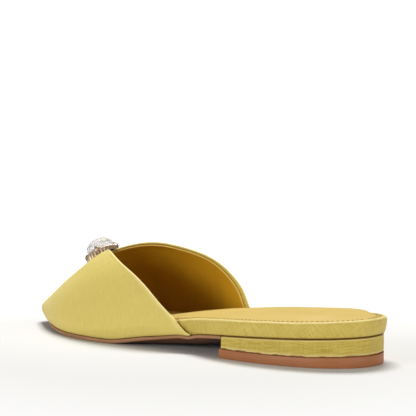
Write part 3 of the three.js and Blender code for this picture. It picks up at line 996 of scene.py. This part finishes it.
def vamp_skin(station, turn):
    """The vamp as it shows: cupped sole edge, a corner pulled under, and cloth lifted at the throat."""
    points = vamp_point(station, turn)
    rise = points[..., 2] - sole_top(station)
    low = 1 - ease(rise, 0, 9)
    throat = np.exp(-((station - THROAT_STATION) / THROAT_SPREAD) ** 2)
    raised = THROAT_LIFT * throat * np.sin(np.radians(turn))
    points[..., 2] += (edge_rise(station) + waist_dip(station)) * low + raised
    return points


# How far the cloth's edge lies toward the toe from the topline, by turn
EDGE_SHIFTS = (
    # turn, lateral, medial
    (0, 0.0, 0.0),
    (1.5, 1.6, 0.4),
    (3, 2.4, 0.4),
    (6, 2.6, 0.2),
    (10, 1.2, 0.0),
    (14, 0.5, -0.3),
    (20, 0.45, -0.4),
    (32, 0.5, -0.45),
    (45, 0.55, -0.45),
    (58, 0.65, -0.3),
    (70, 1.2, 0.2),
    (80, 1.9, 1.2),
    (90, 2.6, 2.6),
)
edge_shifts = curves(EDGE_SHIFTS, level_spline)


def unit(vectors):
    return vectors / np.maximum(np.linalg.norm(vectors, axis=-1, keepdims=True), 1e-12)


def vamp_normal(station, turn, surface=vamp_skin):
    """Direction out of the surface, turned level close to the sole's edge."""
    ahead = np.minimum(station + 0.05, LENGTH - 1e-3)
    along = surface(ahead, turn) - surface(ahead - 0.1, turn)
    low = np.maximum(0.01, turn - 0.5)
    high = np.minimum(179.99, turn + 0.5)
    around = surface(station, high) - surface(station, low)
    normal = unit(np.cross(around, along))
    normal[..., 2] *= np.clip(np.minimum(turn, 180 - turn) / 4, 0, 1)
    return unit(normal)


def wing_share(turn):
    """1 at the vamp's outer rear corner by the footbed and 0 above it."""
    return 1 - ease(turn, 8, 15)


def by_side(turns, lateral, medial):
    """A value by turn, from the outer side's curve up to the ridge and the inner side's beyond."""
    return np.where(turns <= 90, lateral(np.minimum(turns, 90)), medial(np.minimum(180 - turns, 90)))


def vamp_grid(edge_shift, wing_shift):
    """Stations and turns over the vamp, finer near the sole, starting a little inside the topline."""
    t = np.linspace(0, 1, TURN_STEPS + 1)
    turns = 180 * (t - 0.7 * np.sin(2 * np.pi * t) / (2 * np.pi))
    turns[TURN_STEPS // 2] = 90
    share = np.linspace(0, 1, LENGTH_STEPS + 1) ** 1.15
    start = (by_side(turns, *topline) + by_side(turns, *edge_shifts)
             + edge_shift + wing_shift * wing_share(turns))
    sweep = lerp(sweep_of(start)[:, None], np.pi, share[None, :])
    station = np.minimum(station_of(sweep), LENGTH - 1e-4)
    return station, np.repeat(turns[:, None], LENGTH_STEPS + 1, 1)


# Soft troughs and ridges of the vamp, listed one by one
CREASES = (
    # station, turn, length, width, lean in radians, rise (below 0 for a trough)
    (118, 14, 26, 5, 0.5, -0.22),
    (150, 30, 40, 9, 0.3, 0.16),
    (178, 22, 34, 7, -0.1, -0.15),
    (208, 34, 30, 8, 0.15, 0.14),
    (226, 60, 22, 8, 0.0, -0.10),
    (165, 150, 34, 8, -0.2, -0.15),
    (205, 140, 30, 8, 0.1, 0.14),
    (233, 95, 12, 34, 0, 0.8),
    (243, 25, 10, 20, 0, 0.25),
)


def vamp_relief(points, along, station, turn):
    """How far the cloth stands out from the last: the turned edge, the tuck under and soft creases."""
    roll = 0.16 * np.exp(-((along - 0.9) / 0.8) ** 2) - 0.10 * np.exp(-((along - 3.0) / 1.1) ** 2)
    height = points[..., 2] - sole_top(station)
    relief = roll - 0.8 * np.clip(1 - height / 1.9, 0, 1) ** 2
    for centre, middle, length, width, lean, rise in CREASES:
        u = station - centre
        v = (turn - middle) * 0.6
        a = u * math.cos(lean) + v * math.sin(lean)
        b = v * math.cos(lean) - u * math.sin(lean)
        relief = relief + rise * np.exp(-(a / length) ** 2 * 2 - (b / width) ** 2 * 2)
    return relief


def shell_layer(name, depths, edge_shift, wing_shift, shares, finish, relief, replaces=()):
    """One layer of the vamp's wall as a closed sheet with a rounded edge along the topline, which
    lies edge_shift inside the topline and wing_shift more at the outer rear corner. depths gives
    its outer and inner depth in the wall, and shares the second colour round the rolled edge: a
    painted highlight on the fabric and the paler edge colour of the lining."""
    station, turn = vamp_grid(edge_shift, wing_shift)
    surface = vamp_skin(station, turn)
    normal = vamp_normal(station, turn)
    along = run_length(surface, 1)
    around = run_length(surface, 0)
    stand = vamp_relief(surface, along, station, turn)[..., None] if relief else 0
    outer_depth, inner_depth = depths(turn, along)
    outer = surface + normal * (stand - outer_depth[..., None])
    inner = surface - normal * inner_depth[..., None]
    outer[:, -1] = outer[TURN_STEPS // 2, -1]
    inner[:, -1] = outer[:, -1] - np.array([1, 0, 0]) * (inner_depth - outer_depth)[:, -1:]

    back = unit(np.cross(normal[:, 0], np.gradient(surface[:, 0], axis=0)))
    back *= np.sign((back * (surface[:, 0] - surface[:, 2])).sum(1, keepdims=True))
    middle = (outer[:, 0] + inner[:, 0]) / 2
    half = (outer[:, 0] - inner[:, 0]) / 2
    radius = np.minimum(np.linalg.norm(half, axis=1, keepdims=True), RIM_RADIUS)
    rim = [middle + half * math.cos(a) + back * radius * math.sin(a)
           for a in np.radians(np.linspace(0, 180, RIM_STEPS + 1))[1:-1]]

    grid = np.concatenate([outer[:, ::-1], np.stack(rim, 1), inner], 1)
    count = grid.shape[1]
    faces = grid_faces(TURN_STEPS + 1, count)
    for row in (0, TURN_STEPS):
        base = row * count
        for j in range(count // 2):
            out = base + j
            back_in = base + count - 1 - j
            quad = (out, out + 1, back_in - 1, back_in) if out + 2 < back_in else (out, out + 1, back_in)
            faces.append(quad if row == 0 else quad[::-1])
    cloth = np.concatenate(shell_cloth(turn, around, along, radius[:, 0], shares), 1)
    make_piece(name, grid.reshape(-1, 3), faces, finish, finish, cloth=cloth.reshape(-1, 3), sharp=60,
               replaces=replaces)


def shell_cloth(turn, around, along, radius, shares):
    """Cloth coordinates outside, round the rolled edge and inside. The edge is pale above the
    sole, which on the fabric is a painted highlight, with a broader painted highlight along the outer
    side's thick edge, and painted shade where the outer rear corner tucks into its crevice."""
    # Painted highlight along the folded edge, fading out near the sole
    bright = ease(np.minimum(turn[:, 0], 180 - turn[:, 0]), 3, 15)
    fade = np.exp(-(along / FOLD_WIDTH) ** 2) * bright[:, None]
    # A broader painted highlight along the outer side's thick folded edge
    edge_highlight = EDGE_HIGHLIGHT_SHARE * np.exp(-(along / EDGE_HIGHLIGHT_WIDTH) ** 2) * (1 - ease(turn, 35, 75))
    # Painted shade, below 0, where the outer rear corner tucks into its crevice
    corner_shade = 1 - ease(turn, 12, 25)
    shade_from_step = RIM_STEPS / 2
    shade_step_count = len(shares) - shade_from_step
    folded = [np.stack([around[:, 0], -radius * k * math.pi / RIM_STEPS,
                        bright * share - corner_shade[:, 0] * max(0, k - shade_from_step) / shade_step_count], 1)
              for k, share in enumerate(shares, 1)]
    outside = np.stack([around, along, np.maximum(fade, edge_highlight) * shares[0]], 2)
    inside = np.stack([around, along + 200, fade * shares[-1] - corner_shade * np.exp(-along**2)], 2)
    return outside[:, ::-1], np.stack(folded, 1), inside


def fabric_depths(turn, along):
    """Thin cloth, turned in over the whole wall at the outer rear corner."""
    thin = lerp(0.75, 0.95, ease(turn, 85, 110))
    corner = wing_share(turn) * (1 - ease(along, 3.5, 5))
    return 0 * turn, lerp(thin, WALL, corner)


def lining_depths(turn, along):
    """The lining lies within the wall, deeper on the inner side."""
    far = ease(turn, 85, 110)
    return lerp(0.85, 1.25, far), lerp(1.45, 2.1, far)


def make_vamp():
    """Fabric outside and lining inside, each turned in at the topline and laid edge to edge."""
    # The fabric's shares are a painted highlight round its rolled edge
    shell_layer("vamp_fabric", fabric_depths, 0.45, 0, (0.9, 1, 1, 0.8, 0.5, 0.2, 0), "fabric", True,
                replaces=("vamp",))
    shell_layer("vamp_lining", lining_depths, 2.6, 3.5, (0, 0.2, 0.6, 1, 1, 1, 1), "lining", False)


# Jewel

JEWEL_STATION = 196.2
JEWEL_RADIUS = 9.5
JEWEL_LEAN = 3.5
PLATE_THICK = 0.8
PLATE_INSET = 1.0
SETTING_WALL = 1.4
RING_INSIDE = JEWEL_RADIUS - SETTING_WALL
RING_OUTSIDE = JEWEL_RADIUS + 0.25
RING_HEAD = 1.9
SETTING_RIBS = 34
RIB_DEPTH = 0.33
RIB_STEPS = 12
CLAWS = 4
CLAW_WIDTH = 3.0
CLAW_HALF_THICK = 0.26
CLAW_TURN = 0.67
CLAW_SIDES = 16
CRYSTAL_FACETS = 12
GIRDLE_RING = 2


def jewel_place():
    """Rotation and seat of the jewel: its own +Y stands on the vamp, tipped a little to the toe."""
    station = np.array([JEWEL_STATION])
    turn = np.array([90.0])
    lean = Vector(vamp_normal(station, turn, vamp_point)[0])
    dip = (JEWEL_RADIUS - PLATE_INSET) * math.sin(math.radians(JEWEL_LEAN))
    seat = Vector(vamp_point(station, turn)[0]) + lean * (FIT_GAP + dip)
    rotation = Vector((0, 1, 0)).rotation_difference(lean).to_matrix()
    tip = Matrix.Rotation(math.radians(JEWEL_LEAN), 3, "Y")
    return np.array(tip @ rotation), np.array(seat)


jewel_turn, jewel_seat = jewel_place()


def jewel_points(points):
    """Points about the jewel's own axis, as (across, height, across), moved onto the vamp."""
    return np.asarray(points, float) @ jewel_turn.T + jewel_seat


def turned_piece(name, profile, around, finish, slot, ribs=0, depth=0, seat=None, **options):
    """Piece turned about the jewel's axis from (radius, height, rib share) rows, a closed profile.
    seat gives the height of the foot by angle, for a piece that follows what it stands on."""
    rows = []
    for angle in full_turn(around):
        dent = depth * abs(math.sin(ribs * angle / 2))
        foot = seat(angle) if seat else 0
        rows.append([((r - dent * rib) * math.sin(angle), z if z > 0.5 else z + foot,
                      (r - dent * rib) * math.cos(angle)) for r, z, rib in profile])
    rows.append(rows[0])
    points = jewel_points(np.array(rows).reshape(-1, 3))
    faces = grid_faces(around + 1, len(profile), wrap=True)
    make_piece(name, points, faces, finish, slot, **options)


def seat_height(radius, angle):
    """How high the vamp's cloth lies under a place round the jewel, along the jewel's own axis."""
    station, turn = np.meshgrid(np.linspace(180, 212, 65), np.linspace(55, 125, 71))
    cloth = (vamp_skin(station, turn).reshape(-1, 3) - jewel_seat) @ jewel_turn
    place = np.array([radius * math.sin(angle), radius * math.cos(angle)])
    gap = np.linalg.norm(cloth[:, (0, 2)] - place, axis=1)
    weight = 1 / (gap**4 + 1e-3)
    return float((cloth[:, 1] * weight).sum() / weight.sum())


def make_setting():
    """Gold plate, a ring of upright ribs that stands on the cloth, foil, and four folded claws."""
    plate = JEWEL_RADIUS - PLATE_INSET
    rows = [(0, 0, 0), (plate - 0.2, 0, 0), (plate, 0.2, 0), (plate, PLATE_THICK - 0.2, 0),
            (plate - 0.2, PLATE_THICK, 0), (0, PLATE_THICK, 0)]
    turned_piece("jewel_plate", rows, 96, "gold", "gold", replaces=("ornament_back_plate",))

    rows = [(RING_INSIDE, 0.9, 0), (RING_OUTSIDE - 0.4, 0.0, 0.2), (RING_OUTSIDE, 0.0, 1),
            (RING_OUTSIDE, RING_HEAD - 0.6, 1), (RING_OUTSIDE - 0.12, RING_HEAD - 0.3, 0.8),
            (RING_OUTSIDE - 0.5, RING_HEAD, 0.2), (RING_INSIDE + 0.3, RING_HEAD + 0.1, 0),
            (RING_INSIDE, RING_HEAD - 0.1, 0)]
    turned_piece("jewel_ring", rows, SETTING_RIBS * RIB_STEPS, "gold", "gold", ribs=SETTING_RIBS,
                 depth=RIB_DEPTH, seat=lambda angle: min(0.6, seat_height(RING_OUTSIDE, angle) - 0.15),
                 replaces=("ornament_setting",), sharp=50)

    foil = RING_INSIDE - 0.4
    rows = [(0, PLATE_THICK + 0.05, 0), (foil, PLATE_THICK + 0.05, 0), (foil, PLATE_THICK + 0.2, 0),
            (foil * 0.5, PLATE_THICK + 0.4, 0), (0, PLATE_THICK + 0.4, 0)]
    turned_piece("jewel_foil", rows, 64, "foil", "crystal")
    for i in range(CLAWS):
        make_claw(i)


def make_claw(index):
    """A flat claw with rounded sides, bent in over the girdle."""
    spine = (
        # radius, height
        (RING_OUTSIDE - 0.1, 0.6),
        (RING_OUTSIDE + 0.2, 1.3),
        (RING_OUTSIDE + 0.1, RING_HEAD + 0.5),
        (RING_OUTSIDE - 0.5, RING_HEAD + 1.4),
        (RING_INSIDE - 0.05, RING_HEAD + 1.9),
    )
    angle = 2 * math.pi * (index + CLAW_TURN) / CLAWS
    rings = []
    for k, (radius, z) in enumerate(spine):
        before = spine[max(0, k - 1)]
        after = spine[min(len(spine) - 1, k + 1)]
        along = Vector((after[0] - before[0], after[1] - before[1])).normalized()
        across = Vector((along.y, -along.x))
        width = CLAW_WIDTH / 2 * (0.95 - 0.4 * (k / (len(spine) - 1)) ** 2)
        ring = []
        for a in full_turn(CLAW_SIDES):
            side = math.copysign(abs(math.cos(a)) ** 0.5, math.cos(a)) * width
            rise = math.sin(a) * CLAW_HALF_THICK
            ring.append((radius + across.x * rise, z + across.y * rise, side))
        rings.append(ring)
    out, up, side = np.array(rings).reshape(-1, 3).T
    cosine = math.cos(angle)
    sine = math.sin(angle)
    placed = np.stack([out * cosine + side * sine, up, side * cosine - out * sine], 1)
    make_piece(f"jewel_claw_{index + 1}", jewel_points(placed), tube_faces(len(spine), CLAW_SIDES),
               "gold", "gold", sharp=60)


def make_crystal():
    """Domed cut stone: rings of facets, each turned half a step from the one below, with an
    upright girdle."""
    girdle = RING_INSIDE + 0.2
    rings = (
        # share of the girdle's radius, height
        (0.45, 1.2),
        (0.86, 1.6),
        (1.0, 2.3),
        (1.0, 2.7),
        (0.94, 6.0),
        (0.60, 8.8),
    )
    points = []
    turn = 0.0
    for k, (share, height) in enumerate(rings):
        if k != GIRDLE_RING + 1:
            turn += 0.5
        for i in range(CRYSTAL_FACETS):
            angle = 2 * math.pi * (i + turn) / CRYSTAL_FACETS
            points.append((girdle * share * math.sin(angle), height, girdle * share * math.cos(angle)))
    faces = []
    for k in range(len(rings) - 1):
        low = k * CRYSTAL_FACETS
        high = low + CRYSTAL_FACETS
        for i in range(CRYSTAL_FACETS):
            j = (i + 1) % CRYSTAL_FACETS
            if k == GIRDLE_RING:
                faces.append((low + i, low + j, high + j, high + i))
            else:
                faces += [(low + i, low + j, high + i), (low + j, high + j, high + i)]
    faces += [tuple(range(CRYSTAL_FACETS))[::-1], tuple(range(len(points)))[-CRYSTAL_FACETS:]]
    make_piece("jewel_crystal", jewel_points(points), faces, "crystal", "crystal", sharp=1,
               replaces=("ornament_crystal",))


make_camera()
make_studio()
make_outsole()
make_heel()
make_footbed()
make_sock()
make_stitches()
make_vamp()
make_setting()
make_crystal()
